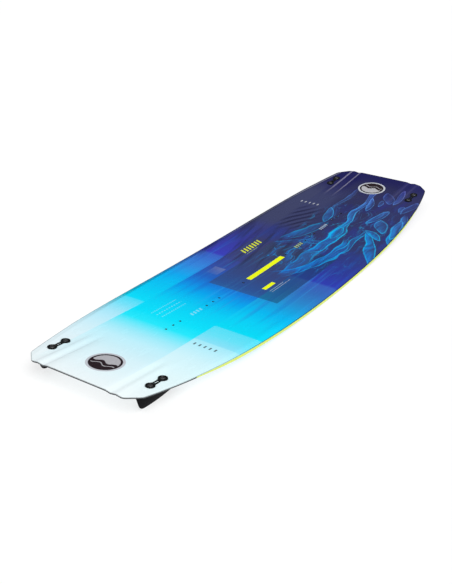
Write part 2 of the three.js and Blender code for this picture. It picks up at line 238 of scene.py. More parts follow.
# ---- Solids: a list of vertices in millimetres and a list of faces ----

INSIDE_BORDERS = 1  # what the triangulation gives: only what lies inside the borders
ONE_POINT = 1e-6  # closer than this is the same point, in millimetres and in metres
TURNED_SIDES = 48


def at_height(plan, height):
    return np.column_stack([plan, np.broadcast_to(height, len(plan))])


def on_surface(plan, surface):
    return at_height(plan, surface(plan[:, 0], plan[:, 1]))


def triangles(loops, inner=np.empty((0, 2))):
    """Triangles inside the first loop and outside the others, which are holes. They hold the
    points' numbers: each loop's in turn, then the inner points'."""
    plan = np.concatenate([*(loop[:, :2] for loop in loops), inner])
    borders = []
    owners = []
    for number, loop in enumerate(loops):
        first, count = len(owners), len(loop)
        borders += [(first + i, first + (i + 1) % count) for i in range(count)]
        owners += [number] * count
    owners += [0] * len(inner)
    points = [Vector(point) for point in plan]
    _, _, faces, origins, _, _ = delaunay_2d_cdt(points, borders, [], INSIDE_BORDERS, ONE_POINT)
    kept = []
    for face in faces:
        numbers = [origins[i][0] for i in face]
        touched = {owners[i] for i in numbers}
        if 0 in touched or len(touched) > 1:  # else it fills a hole
            kept.append(numbers)
    return kept


def numbered(rows):
    """The vertex numbers of rows of points that are listed one after the other."""
    numbers = []
    first = 0
    for row in rows:
        numbers.append(list(range(first, first + len(row))))
        first += len(row)
    return numbers


def skin(rows, closed=True):
    """Quads between each row of vertex numbers and the next one."""
    faces = []
    for low, high in zip(rows, rows[1:]):
        for i in range(len(low) if closed else len(low) - 1):
            j = (i + 1) % len(low)
            faces.append((low[i], low[j], high[j], high[i]))
    return faces


def layer(top, bottom, holes, inset=0):
    """A sheet between two surfaces, with round holes. The inset moves its edge inwards."""
    loops = [board_outline(inset), *(circle(centre, radius) for centre, radius in holes)]
    inner = inner_points(holes)
    plan = np.concatenate([*loops, inner])
    upper = triangles(loops, inner)
    count = len(plan)
    lower = [[i + count for i in reversed(face)] for face in upper]
    walls = []
    for row in numbered(loops):
        walls += skin([row, [i + count for i in row]])
    vertices = np.concatenate([on_surface(plan, top), on_surface(plan, bottom)])
    return vertices, [*upper, *lower, *walls]


def inner_points(holes):
    """Points inside the outline: on the rows, and on lines along the bevel."""
    points = []
    for x in [*-SIDE_STATIONS[:0:-1], *SIDE_STATIONS]:
        edge = half_width(x)
        bevel = edge - bevel_width(x) * np.array(BEVEL_SHARES)
        across = [*ROWS[ROWS < bevel[-1] - 2 * LEAST_STEP], *bevel]
        points += [(x, y) for y in across] + [(x, -y) for y in across if y > 0]
    points = np.array(points)
    for centre, radius in holes:
        away = np.linalg.norm(points - centre, axis=1)
        points = points[away > HOLE_MARGIN * radius]
    return points


def swept(path, section):
    """A closed bar along a path seen from above. The section is a list of [distance to the
    path's left, surface, height above that surface]."""
    rows = []
    for aside, surface, rise in section:
        rows.append(on_surface(moved_left(path, aside), raised(surface, rise)))
    numbers = numbered(rows)
    ends = [[row[0] for row in numbers], [row[-1] for row in numbers]]
    return np.concatenate(rows), [*skin([*numbers, numbers[0]], closed=False), *ends]


def stacked(loops):
    """A solid from loops of rings, each listed from the bottom to the top. The first loop is the
    outside and the others are holes right through."""
    rings = [ring for loop in loops for ring in loop]
    every_row = iter(numbered(rings))
    numbers = [[next(every_row) for _ in loop] for loop in loops]
    faces = [face for rows in numbers for face in skin(rows)]
    for end in (0, -1):
        order = [i for rows in numbers for i in rows[end]]
        cap = triangles([loop[end] for loop in loops])
        faces += [[order[i] for i in face] for face in cap]
    return np.concatenate(rings), faces


def turned(profile):
    """A round solid about Z from [radius, height] points that start and end on the axis. A
    third value of True makes that ring a hexagon with the radius as half its width."""
    sides = TURNED_SIDES
    turn = np.linspace(0, 2 * math.pi, sides, endpoint=False)
    corner = np.cos((turn + math.pi / 6) % (math.pi / 3) - math.pi / 6)
    bottom, *rings, top = profile
    vertices = [(0, 0, bottom[1]), (0, 0, top[1])]
    for radius, height, *hexagon in rings:
        reach = radius / corner if hexagon else np.full(sides, radius)
        vertices += list(zip(reach * np.cos(turn), reach * np.sin(turn), np.full(sides, height)))
    rows = [[2 + k * sides + i for i in range(sides)] for k in range(len(rings))]
    faces = skin(rows)
    for apex, row in ((0, rows[0]), (1, rows[-1])):
        faces += [(apex, row[i], row[(i + 1) % sides]) for i in range(sides)]
    return vertices, faces


# ---- Pieces ----

SHARP_ANGLE = math.radians(32)
ON_BOARD = Matrix.Translation((0, 0, EDGE_LEVEL))


def linked(name, data):
    """A new object in the scene."""
    made = bpy.data.objects.new(name, data)
    scene.collection.objects.link(made)
    return made


def piece(name, solid, material, slot, *nodes, place=ON_BOARD):
    """A mesh object in metres that stands for CAD nodes and rides on the board."""
    vertices, faces = solid
    mesh = bpy.data.meshes.new(name)
    mesh.from_pydata([place @ Vector(v) * MM for v in vertices], [], faces)
    edit = bmesh.new()
    edit.from_mesh(mesh)
    bmesh.ops.remove_doubles(edit, verts=edit.verts, dist=ONE_POINT)
    bmesh.ops.recalc_face_normals(edit, faces=edit.faces)
    edit.to_mesh(mesh)
    edit.free()
    mesh.shade_smooth()
    mesh.set_sharp_from_angle(angle=SHARP_ANGLE)
    mesh.materials.append(material)
    made = linked(name, mesh)
    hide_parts(*nodes)
    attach(made, "root")


def node_centre(node):
    low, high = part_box(node)
    return (low + high) / (2 * MM)


def deck_frame(centre, depth):
    """The axes of a fitting: Z along the deck's normal, X towards the nearer tip. The centre of
    the fitting is that depth below the origin."""
    tilt = Matrix.Rotation(-rocker_angle(centre.x), 4, "Y")
    turn = Matrix.Rotation(math.pi if centre.x < 0 else 0, 4, "Z")
    return Matrix.Translation(centre) @ turn @ tilt @ Matrix.Translation((0, 0, depth))


# Fins, washers and screws.
FIN_LENGTH = 126
FIN_DEPTH = 36.5
FIN_CURVES = (
    ((123, 26), (109, 29.2)),
    ((67, FIN_DEPTH), (28, FIN_DEPTH)),
    ((14, FIN_DEPTH), (9.5, 24)),
)
FIN_ROOT = 14
FIN_EDGE = 6
FIN_LENS_EXTRA = 16
FIN_SCREW_SPREAD = 19.65
FIN_STATIONS = 60
FIN_LEVELS = 20
FIN_CURVE_STEPS = 16
BOARD_GAP = 0.3

WASHER_THICKNESS = 2.8
WASHER_LOBE_RADIUS = 10.2
WASHER_NECK_HALF = 4.9
WASHER_SEAT_RADIUS = 6.1
WASHER_NECK_THICKNESS = 1.6
WASHER_NECK_SLOPE = (7, 11)  # where the neck thickens into the lobes
WASHER_SLIT = (14, 3)
WASHER_FILLET = 2.5
WASHER_STEPS = 112
SLIT_STEPS = 9
SEAT_SIDES = 40

SCREW_RADIUS = 3
SCREW_LENGTH = 17
SCREW_PITCH = 1
SCREW_HEAD_RADIUS = 5.7
SCREW_HEAD_HEIGHT = 1.9
SOCKET_HALF = 2
SOCKET_DEPTH = 1.3

INSERT_TOP = -1.2
INSERT_BOTTOM = -7.5
INSERT_RADIUS = 5
INSERT_FLANGE_RADIUS = 8
INSERT_FLANGE = 1.2
INSERT_BORE_RADIUS = 2.6
INSERT_FLOOR = 0.8
INSERT_COLLAR_RADIUS = 2.95
INSERT_COLLAR_TOP = -0.45
THREAD_DEPTH = 0.35

WASHER_TOP = BOARD_GAP + WASHER_THICKNESS


def thread(radius, low, high):
    """The zigzag of a screw thread, from its low end to its high end."""
    turns = int((high - low) / SCREW_PITCH)
    points = []
    for turn in range(turns):
        start = low + turn * SCREW_PITCH
        points += [(radius - THREAD_DEPTH, start), (radius, start + SCREW_PITCH / 2)]
    return [*points, (radius - THREAD_DEPTH, low + turns * SCREW_PITCH)]


def fin_screw():
    low = WASHER_TOP - SCREW_LENGTH
    under_head = WASHER_TOP - SCREW_HEAD_HEIGHT
    floor = WASHER_TOP - SOCKET_DEPTH
    return turned([
        (0, low),
        *thread(SCREW_RADIUS, low, under_head - 1),
        (SCREW_RADIUS, under_head),
        (SCREW_HEAD_RADIUS - 0.5, under_head),
        (SCREW_HEAD_RADIUS, under_head + 0.4),
        (SCREW_HEAD_RADIUS, WASHER_TOP - 0.7),
        (SCREW_HEAD_RADIUS - 0.35, WASHER_TOP - 0.25),
        (SCREW_HEAD_RADIUS - 1, WASHER_TOP),
        (SOCKET_HALF + 0.45, WASHER_TOP),
        (SOCKET_HALF, WASHER_TOP - 0.3, True),
        (SOCKET_HALF, floor, True),
        (0, floor - 0.4),
    ])


def deck_insert():
    """A blind threaded insert: its flange is down and a thin collar lines the hole in the deck."""
    floor = INSERT_BOTTOM + INSERT_FLOOR
    bore = thread(INSERT_BORE_RADIUS + THREAD_DEPTH, floor, INSERT_TOP - 0.3)
    return turned([
        (0, INSERT_BOTTOM),
        (INSERT_FLANGE_RADIUS - 0.3, INSERT_BOTTOM),
        (INSERT_FLANGE_RADIUS, INSERT_BOTTOM + 0.3),
        (INSERT_FLANGE_RADIUS, INSERT_BOTTOM + INSERT_FLANGE),
        (INSERT_RADIUS, INSERT_BOTTOM + INSERT_FLANGE),
        (INSERT_RADIUS, INSERT_TOP - 0.3),
        (INSERT_RADIUS - 0.3, INSERT_TOP),
        (INSERT_COLLAR_RADIUS, INSERT_TOP),
        (INSERT_COLLAR_RADIUS, INSERT_COLLAR_TOP),
        (INSERT_BORE_RADIUS, INSERT_COLLAR_TOP),
        *reversed(bore),
        (0, floor),
    ])


def washer_loop(inset, height):
    """The washer's outline, two round lobes joined by a neck, moved inwards by the inset."""
    radius = WASHER_LOBE_RADIUS - inset
    turn = np.linspace(0, 2 * math.pi, WASHER_STEPS, endpoint=False)
    x = (FIN_SCREW_SPREAD + radius) * np.cos(turn)
    from_lobe = np.minimum(np.abs(np.abs(x) - FIN_SCREW_SPREAD), radius)
    lobe = np.sqrt(radius**2 - from_lobe**2)
    neck = np.where(np.abs(x) < FIN_SCREW_SPREAD, WASHER_NECK_HALF - inset, 0)
    blend = np.maximum(WASHER_FILLET - np.abs(lobe - neck), 0) ** 2 / (4 * WASHER_FILLET)
    blend = np.where(np.abs(x) < FIN_SCREW_SPREAD, blend, 0)
    y = (np.maximum(lobe, neck) + blend) * np.sign(np.sin(turn))
    return at_height(np.column_stack([x, y]), height)


def slit_loop(outset, height):
    """The edge of the slit in the washer's neck, moved outwards by the outset."""
    length, width = WASHER_SLIT
    radius = width / 2 + outset
    reach = (length - width) / 2
    right = np.linspace(math.pi / 2, -math.pi / 2, SLIT_STEPS)
    ends = [(reach + radius * math.cos(a), radius * math.sin(a)) for a in right]
    ends += [(-x, -y) for x, y in ends]
    return at_height(np.array(ends), height)


def thin_neck(ring):
    """Lowers a ring of the washer where it crosses the neck."""
    full = smoothstep(np.abs(ring[:, 0]), *WASHER_NECK_SLOPE)
    share = lerp(WASHER_NECK_THICKNESS / WASHER_THICKNESS, 1, full)
    return at_height(ring[:, :2], BOARD_GAP + (ring[:, 2] - BOARD_GAP) * share)


def fin_washer():
    """Two thick round lobes with a seat for a screw in each, and a thin neck with a slit."""
    low, high = BOARD_GAP, WASHER_TOP
    edges = ((0.4, low), (0, low + 0.4), (0, high - 1.1), (0.3, high - 0.4), (1.1, high))
    loops = [[washer_loop(inset, height) for inset, height in edges]]
    rims = ((0, low), (0, high - 0.5), (0.35, high - 0.1), (0.5, high))
    loops.append([slit_loop(outset, height) for outset, height in rims])
    for x in (FIN_SCREW_SPREAD, -FIN_SCREW_SPREAD):
        seat = []
        for outset, height in rims:
            rim = circle((x, 0), WASHER_SEAT_RADIUS + outset, SEAT_SIDES)
            seat.append(at_height(rim, height))
        loops.append(seat)
    return stacked([[thin_neck(ring) for ring in rings] for rings in loops])


def fin_depths(from_outer_end):
    """How deep the fin is at places along it, measured from its outer end."""
    corner = (FIN_LENGTH, 0)
    points = []
    for control, end in FIN_CURVES:
        points.extend(quadratic(*np.array([corner, control, end]), FIN_CURVE_STEPS))
        corner = end
    outline = np.array([*points, (0, 0)])[::-1]
    return np.interp(from_outer_end, outline[:, 0], outline[:, 1])


def fin(top):
    """A swept blade whose section is a foil: thick at the root, round at the edge."""
    spread = (1 - np.cos(np.linspace(0, math.pi, FIN_STATIONS))) / 2
    along = FIN_LENGTH * spread
    depth = fin_depths(along)
    lens_reach = FIN_LENGTH / 2 + FIN_LENS_EXTRA
    t = (along - FIN_LENGTH / 2 + lens_reach) / (2 * lens_reach)
    half_root = FIN_ROOT * 2 * t * (1 - t)
    rows = []
    for side in (1, -1):
        for level in range(FIN_LEVELS):
            down = math.sin(level / (FIN_LEVELS - 1) * math.pi / 2)
            thinning = lerp(1, FIN_EDGE / FIN_ROOT, down * depth / FIN_DEPTH)
            half = half_root * thinning * math.sqrt(1 - down**8)
            rows.append(list(zip(FIN_LENGTH / 2 - along, side * half, top - down * depth)))
    numbers = numbered(rows)
    left, right = numbers[:FIN_LEVELS], numbers[FIN_LEVELS:]
    faces = []
    for group in ([left[0], right[0]], left, right):
        faces += skin(group, closed=False)
    return np.concatenate(rows), faces


# ---- Nodes: numbers that vary over a surface, with arithmetic ----


class Field:
    """An output socket of a material's nodes. Arithmetic on it adds nodes."""

    def __init__(self, socket):
        self.socket = socket

    def math(self, operation, *others):
        node = self.socket.id_data.nodes.new("ShaderNodeMath")
        node.operation = operation
        for entry, value in zip(node.inputs, (self, *others)):
            feed(value, entry)
        return Field(node.outputs[0])

    def __add__(self, other):
        return self.math("ADD", other)

    def __sub__(self, other):
        return self.math("SUBTRACT", other)

    def __rsub__(self, other):
        return (self * -1) + other

    def __mul__(self, other):
        return self.math("MULTIPLY", other)

    def __truediv__(self, other):
        return self.math("DIVIDE", other)

    __radd__ = __add__
    __rmul__ = __mul__


def feed(value, entry):
    """Links a field into a node's input, or sets a plain number or colour there."""
    if isinstance(value, Field):
        value.socket.id_data.links.new(value.socket, entry)
    elif entry.type == "RGBA":
        entry.default_value = (*value, 1)
    else:
        entry.default_value = value


def ramped(field, low, high):
    """0 below low, 1 above high and smooth between them. Low may be the larger number."""
    node = field.socket.id_data.nodes.new("ShaderNodeMapRange")
    node.interpolation_type = "SMOOTHSTEP"
    feed(field, node.inputs["Value"])
    node.inputs["From Min"].default_value = low
    node.inputs["From Max"].default_value = high
    return Field(node.outputs["Result"])


def above(field, limit, soft=0.6):
    return ramped(field, limit - soft, limit + soft)


def within(field, low, high, soft=0.6):
    return above(field, low, soft) * (1 - above(field, high, soft))


def box_mask(x, y, x_range, y_range, soft=0.6):
    return within(x, *x_range, soft) * within(y, *y_range, soft)


def gradient(field, stops):
    """A colour that follows a field through [place, colour] stops."""
    tree = field.socket.id_data
    low, high = stops[0][0], stops[-1][0]
    node = tree.nodes.new("ShaderNodeValToRGB")
    elements = node.color_ramp.elements
    while len(elements) < len(stops):
        elements.new(0.5)
    for element, (place, colour) in zip(elements, stops):
        element.position = (place - low) / (high - low)
        element.color = (*colour, 1)
    feed((field - low) / (high - low), node.inputs["Fac"])
    return Field(node.outputs["Color"])


def mixed(first, second, share):
    """The first colour, turning into the second as the share goes from 0 to 1."""
    node = share.socket.id_data.nodes.new("ShaderNodeMix")
    node.data_type = "RGBA"
    factor, colours = node.inputs[0], [entry for entry in node.inputs if entry.type == "RGBA"]
    feed(share, factor)
    feed(first, colours[0])
    feed(second, colours[1])
    return Field(next(output for output in node.outputs if output.type == "RGBA"))


def vector(x, y, z):
    tree = next(value.socket.id_data for value in (x, y, z) if isinstance(value, Field))
    node = tree.nodes.new("ShaderNodeCombineXYZ")
    for entry, value in zip(node.inputs, (x, y, z)):
        feed(value, entry)
    return Field(node.outputs[0])


def noise(place, detail):
    """Smooth noise of about 0 to 1 with one feature per unit of the place vector."""
    node = place.socket.id_data.nodes.new("ShaderNodeTexNoise")
    node.inputs["Scale"].default_value = 1
    node.inputs["Detail"].default_value = detail
    feed(place, node.inputs["Vector"])
    return Field(node.outputs["Fac"])


class Paint:
    """One material in the making: the place on the object in millimetres, and its shader."""

    def __init__(self, name):
        self.material = bpy.data.materials.new(name)
        self.material.use_nodes = True
        self.nodes = self.material.node_tree.nodes
        self.shader = self.nodes["Principled BSDF"]
        scaled = self.nodes.new("ShaderNodeVectorMath")
        scaled.operation = "SCALE"
        scaled.inputs["Scale"].default_value = 1 / MM
        place = self.nodes.new("ShaderNodeTexCoord").outputs["Object"]
        feed(Field(place), scaled.inputs[0])
        parts = self.nodes.new("ShaderNodeSeparateXYZ")
        feed(Field(scaled.outputs[0]), parts.inputs[0])
        self.x, self.y, self.z = (Field(output) for output in parts.outputs)

    def grain(self, x_size, y_size, z_size, detail=2, shift=0):
        """Noise with features of those sizes in millimetres. The shift picks another pattern."""
        place = vector(self.x / x_size + shift, self.y / y_size, self.z / z_size)
        return noise(place, detail)

    def finish(self, colour, roughness, height=None, depth=0.05, **constants):
        """Feeds the shader. A height of 1 stands for the depth in millimetres."""
        feed(colour, self.shader.inputs["Base Color"])
        feed(roughness, self.shader.inputs["Roughness"])
        for name, value in constants.items():
            feed(value, self.shader.inputs[name.replace("_", " ").replace("Ior", "IOR")])
        if height is not None:
            bump = self.nodes.new("ShaderNodeBump")
            bump.inputs["Distance"].default_value = depth * MM
            feed(height, bump.inputs["Height"])
            feed(Field(bump.outputs["Normal"]), self.shader.inputs["Normal"])
        return self.material


# ---- The printed sheets, and the light and shade painted on the deck ----

PRINT_ORIGIN = (-4.2, -2.9)  # where the print's own middle lies on the board

# Linear colours of the print, from the white tail to the navy nose.
FROST = (0.87, 0.95, 0.97)
ICE = (0.63, 0.9, 0.965)
PALE_CYAN = (0.35, 0.83, 0.955)
CYAN = (0.002, 0.745, 0.955)
SKY = (0.001, 0.62, 0.91)
AZURE = (0.001, 0.46, 0.85)
SLATE = (0.046, 0.054, 0.13)
DUSK = (0.022, 0.023, 0.105)
NIGHT = (0.011, 0.011, 0.088)
YELLOW = (0.84, 0.93, 0.01)
WHITE = (0.9, 0.93, 0.95)

# What each band shows along the board: stops of [x, colour].
CENTRE_PRINT = (
    (-690, FROST), (-560, (0.68, 0.9, 0.965)), (-490, (0.52, 0.87, 0.97)), (-455, PALE_CYAN),
    (-428, (0.18, 0.82, 0.965)), (-400, (0.02, 0.8, 0.965)), (-360, CYAN), (-280, SKY),
    (-240, (0.001, 0.5, 0.875)), (-200, (0.001, 0.36, 0.83)), (-160, (0.006, 0.22, 0.71)),
    (-120, (0.015, 0.12, 0.52)), (-60, (0.034, 0.075, 0.35)), (0, (0.042, 0.058, 0.26)),
    (40, (0.044, 0.05, 0.18)), (120, (0.042, 0.046, 0.14)), (200, (0.03, 0.042, 0.2)),
    (420, (0.024, 0.031, 0.15)), (560, DUSK), (640, NIGHT),
)
LEFT_PRINT = (
    (-690, FROST), (-560, (0.76, 0.9, 0.955)), (-490, (0.63, 0.87, 0.955)),
    (-440, (0.5, 0.84, 0.965)), (-400, (0.37, 0.8, 0.955)), (-360, (0.18, 0.76, 0.95)),
    (-322, (0.06, 0.73, 0.95)),
    (-320, (0.002, 0.715, 0.95)), (-270, SKY), (-190, (0.001, 0.49, 0.88)),
    (-150, (0.004, 0.385, 0.85)), (-80, (0.034, 0.23, 0.7)), (5, (0.045, 0.11, 0.53)),
    (7, (0.042, 0.048, 0.47)), (80, (0.038, 0.044, 0.35)), (200, (0.037, 0.043, 0.2)), (300, SLATE),
    (500, (0.05, 0.055, 0.132)), (590, DUSK), (650, NIGHT),
)
RIGHT_PRINT = (
    (-690, FROST), (-560, (0.75, 0.94, 0.97)), (-480, ICE), (-430, (0.48, 0.86, 0.965)),
    (-397, (0.36, 0.82, 0.95)), (-395, (0.19, 0.73, 0.925)), (-360, (0.06, 0.73, 0.92)),
    (-323, (0.008, 0.71, 0.915)), (-321, (0.001, 0.7, 0.91)), (-260, SKY), (-200, AZURE),
    (-160, (0.008, 0.345, 0.72)), (-110, (0.022, 0.23, 0.58)), (-50, (0.032, 0.145, 0.475)),
    (5, (0.042, 0.105, 0.47)), (7, (0.028, 0.045, 0.42)), (80, (0.025, 0.04, 0.3)),
    (200, (0.025, 0.042, 0.21)), (560, (0.028, 0.03, 0.17)), (660, (0.016, 0.016, 0.11)),
)
LEFT_BAND_Y = 127.5
RIGHT_BAND_Y = -70


def print_gradient(paint):
    """Three long bands, each running from white through cyan to navy."""
    left = above(paint.y, LEFT_BAND_Y)
    right = 1 - above(paint.y, RIGHT_BAND_Y)
    colour = mixed(gradient(paint.x, CENTRE_PRINT), gradient(paint.x, LEFT_PRINT), left)
    return mixed(colour, gradient(paint.x, RIGHT_PRINT), right)


HATCH_X = (-396, -322)
HATCH_PITCH = 4.5


def hatch(paint, colour):
    """Fine pale lines across the end of the right band."""
    wave = ((paint.x + paint.y * 0.6) * (2 * math.pi / HATCH_PITCH)).math("SINE")
    zone = within(paint.x, *HATCH_X) * (1 - above(paint.y, RIGHT_BAND_Y))
    return mixed(colour, ICE, ramped(wave, 0, 0.8) * zone * 0.34)


def streaks(paint, colour):
    """Long soft brush streaks through the blue middle of the board."""
    broad = paint.grain(420, 16, 90, detail=3, shift=3.7)
    thin = paint.grain(300, 8, 90, shift=9.2)
    zone = ramped(paint.x, -330, -180) * ramped(paint.x, 280, 120)
    dark = ramped(broad, 0.5, 0.72) * zone
    light = ramped(thin, 0.56, 0.75) * zone * ramped(paint.x, 150, 0)
    colour = mixed(colour, (0.012, 0.09, 0.5), dark * 0.34)
    return mixed(colour, (0.03, 0.38, 0.86), light * 0.3)


PANEL_X = (-144, 156)
PANEL_Y = (-121, 72)
SIDE_PANEL_X = (0, 158)
SIDE_PANEL_Y = (72, 127.5)


def dark_panels(paint, colour):
    """Two translucent dark rectangles over the middle of the print."""
    panel = box_mask(paint.x, paint.y, PANEL_X, PANEL_Y, 1)
    side = box_mask(paint.x, paint.y, SIDE_PANEL_X, SIDE_PANEL_Y, 1)
    ink = mixed((0.01, 0.045, 0.1), (0.033, 0.055, 0.115), above(paint.y, RIGHT_BAND_Y, 2))
    colour = mixed(colour, (0.045, 0.045, 0.1), side * 0.25)
    return mixed(colour, ink, panel * 0.58)


def sweeps(paint, colour):
    """Long dark sweeps over the panels and past them, a little askew to the board."""
    along = (paint.x + paint.y) / 190
    across = (paint.y - paint.x * 0.16) / 15
    zone = ramped(paint.x, -70, 30) * ramped(paint.x, 380, 250) * ramped(paint.y, -70, -20)
    dark = ramped(noise(vector(along, across, 2.6), detail=2), 0.48, 0.68)
    return mixed(colour, (0.018, 0.02, 0.05), dark * zone * 0.5)


STREAM_TIP = 0.3  # how wide a stream's ends are, as a share of its middle

# Streams of light: start x, end x, start y, end y, sag, half width, strength.
STREAMS = (
    (-10, 262, -30, -90, -36, 15, 0.9),
    (-20, 200, -50, -46, -4, 18, 0.6),
    (95, 350, -96, -104, -9, 9, 0.85),
    (140, 385, -36, -34, -19, 17, 1),
    (300, 605, -50, -19, 8, 8, 0.95),
    (160, 236, 66, -50, -4, 22, 0.35),
    (190, 356, 58, 14, -8, 18, 0.5),
    (425, 590, 33, 27, 6, 7, 0.5),
    (140, 355, -206, -96, -16, 13, 0.95),
    (300, 490, -200, -162, 6, 13, 0.85),
)

# Oval ripples: centre x and y, half length, half width, tilt in degrees, strength.
LENSES = (
    (292, -46, 40, 11, 0, 1),
    (388, 30, 45, 11, 15, 0.8),
    (501, -41, 46, 10, 16, 0.95),
    (522, -67, 22, 6.5, 10, 0.75),
    (441, -98, 48, 12, -10, 0.85),
    (331, -136, 36, 12, 58, 0.9),
    (392, -134, 44, 15, 24, 0.55),
    (395, -174, 58, 11, 12, 0.9),
    (586, -99, 50, 9, 4, 0.65),
    (523, -132, 21, 6, 0, 0.6),
    (568, -72, 38, 15, 26, 0.4),
    (540, -150, 46, 12, -8, 0.5),
)

# The colours of their rims and insides along the board: stops of [x, colour].
RIPPLE_LINE = (
    (20, (0.005, 0.3, 0.8)), (330, (0.003, 0.5, 0.88)),
    (470, (0.07, 0.34, 0.8)), (640, (0.16, 0.17, 0.6)),
)
RIPPLE_FILL = (
    (20, (0.01, 0.17, 0.65)), (330, (0.008, 0.25, 0.7)),
    (470, (0.05, 0.2, 0.62)), (640, (0.05, 0.06, 0.38)),
)


def rimmed(distance, aside, strength):
    """The fill and the bright rim of a shape. The distance is 1 at its edge, and aside runs from
    -1 to 1 across it: the fill is brighter towards 1."""
    fill = ramped(distance, 1.08, 0.92) * (ramped(aside, -0.9, 0.8) * 0.7 + 0.3)
    rim = ramped((distance - 0.95).math("ABSOLUTE"), 0.24, 0.02)
    return fill * strength, rim * strength


def stream(x, y, start_x, end_x, start_y, end_y, sag, half_width, strength):
    """A curved stream that narrows to both ends."""
    t = (x - start_x) / (end_x - start_x)
    bulge = t * (1 - t) * 4
    middle = t * (end_y - start_y) + bulge * sag + start_y
    width = bulge.math("MAXIMUM", 0) * (1 - STREAM_TIP) + STREAM_TIP
    aside = (y - middle) / (width * half_width)
    return rimmed(aside.math("ABSOLUTE"), aside, within(t, 0.05, 0.95, 0.09) * strength)


def lens(x, y, centre_x, centre_y, half_length, half_width, tilt, strength):
    """An oval ripple with slightly pointed ends."""
    turn = math.radians(tilt)
    along = ((x - centre_x) * math.cos(turn) + (y - centre_y) * math.sin(turn)) / half_length
    aside = ((y - centre_y) * math.cos(turn) - (x - centre_x) * math.sin(turn)) / half_width
    return rimmed(aside.math("ABSOLUTE").math("POWER", 1.5) + along * along, aside, strength)


def murk(paint, colour):
    """Dark clouded water under the ripples."""
    zone = ramped(paint.x, 100, 260) * ramped(paint.x, 690, 600) * ramped(paint.y, 80, 40)
    cloud = ramped(paint.grain(70, 34, 90, detail=3, shift=7.7), 0.3, 0.55)
    return mixed(colour, (0.031, 0.034, 0.08), cloud * zone * 0.62)


def caustics(paint, colour):
    """Light on water over the dark half: streams, ripples and fine veins."""
    bend = paint.grain(110, 80, 200, detail=0, shift=5.1) - 0.5
    swirl = paint.grain(62, 44, 200, detail=0, shift=12.3) - 0.5
    x = paint.x + bend * 44
    y = paint.y + swirl * 26 + bend * 12
    calm_x = paint.x + bend * 24
    calm_y = paint.y + swirl * 15
    flow = noise(vector(x / 70, y / 11, 0.4), detail=2)
    vein = noise(vector(x / 46, y / 19, 3.4), detail=1)
    haze = ramped(paint.x, 15, 80) * ramped(paint.x, 600, 320)
    haze = haze * ramped(paint.y, 80, 40) * ramped(paint.y, -215, -60)
    fill = ramped(flow, 0.52, 0.78) * haze * 0.5
    line = ramped((vein - 0.5).math("ABSOLUTE"), 0.028, 0) * ramped(flow, 0.38, 0.6) * haze * 0.45
    shapes = [stream(x, y, *sizes) for sizes in STREAMS]
    shapes += [lens(calm_x, calm_y, *sizes) for sizes in LENSES]
    for shape_fill, shape_line in shapes:
        fill = fill.math("MAXIMUM", shape_fill)
        line = line.math("MAXIMUM", shape_line)
    shimmer = ramped(flow, 0.3, 0.65)
    colour = mixed(colour, gradient(paint.x, RIPPLE_FILL), fill * (shimmer * 0.7 + 0.25))
    return mixed(colour, gradient(paint.x, RIPPLE_LINE), line * (shimmer * 0.6 + 0.35))


FOLD_PITCH = 21
FOLD_TILT = math.radians(28.4)


def sheen_and_folds(paint, colour):
    """A painted grey sheen, a painted reflection, along the left of the nose half, with soft dark
    diagonal folds in it.
    """
    x, y = paint.x, paint.y
    across = x * math.sin(FOLD_TILT) + y * math.cos(FOLD_TILT)
    phase = across * (2 * math.pi / FOLD_PITCH) + paint.grain(120, 90, 90) * 5
    wave = ramped(phase.math("SINE"), -0.5, 0.9)
    haze = ramped(x, 225, 290) * ramped(x, 590, 480) * ramped(y, 25, 75)
    # painted reflection: the slate sheen on the gloss along the left of the nose half
    colour = mixed(colour, SLATE, haze * 0.85)
    folded = haze * ramped(x, 440, 370) * ramped(y, 135, 112)
    return mixed(colour, (0.012, 0.013, 0.05), wave * folded * 0.75)


OUTER_RIDGE_Y = 108
INNER_RIDGE_Y = 80.5


def ridge_highlights_and_shade(paint, colour):
    """The moulded steps at the tips in grey: painted highlight, strongest on the nose's left, and
    painted shade on the tail.
    """
    tips = ramped(paint.x.math("ABSOLUTE"), 490, 600)
    reach = paint.y.math("ABSOLUTE")
    outer = ramped((reach - OUTER_RIDGE_Y).math("ABSOLUTE"), 4.5, 1.5)
    inner = ramped((reach - INNER_RIDGE_Y).math("ABSOLUTE"), 4, 1)
    strength = above(paint.y, 0) * (above(paint.x, 0) * 0.45 + 0.05) + 0.04
    # painted light: a pale highlight on the navy nose, grey shade on the white tail
    return mixed(colour, (0.36, 0.35, 0.48), outer.math("MAXIMUM", inner) * tips * strength)


BORDER_WIDTH = 1.8
BEVEL_HIGHLIGHT = (4, 9)  # the painted highlight line on the left bevel, inwards from the edge


def edge_distance(paint):
    """How far inside the outline a place is."""
    reach = paint.x.math("ABSOLUTE")
    aside = paint.y.math("ABSOLUTE")
    corner = Vector((SIDE_CORNER_X, SIDE_CORNER_Y))
    outward = Vector((SIDE_CORNER_Y - TIP_CORNER_Y, TIP_X - SIDE_CORNER_X)).normalized()
    from_chamfer = corner.dot(outward) - reach * outward.x - aside * outward.y
    from_side = side_half_width(reach / SIDE_CORNER_X) - aside
    return from_side.math("MINIMUM", TIP_X - reach).math("MINIMUM", from_chamfer)


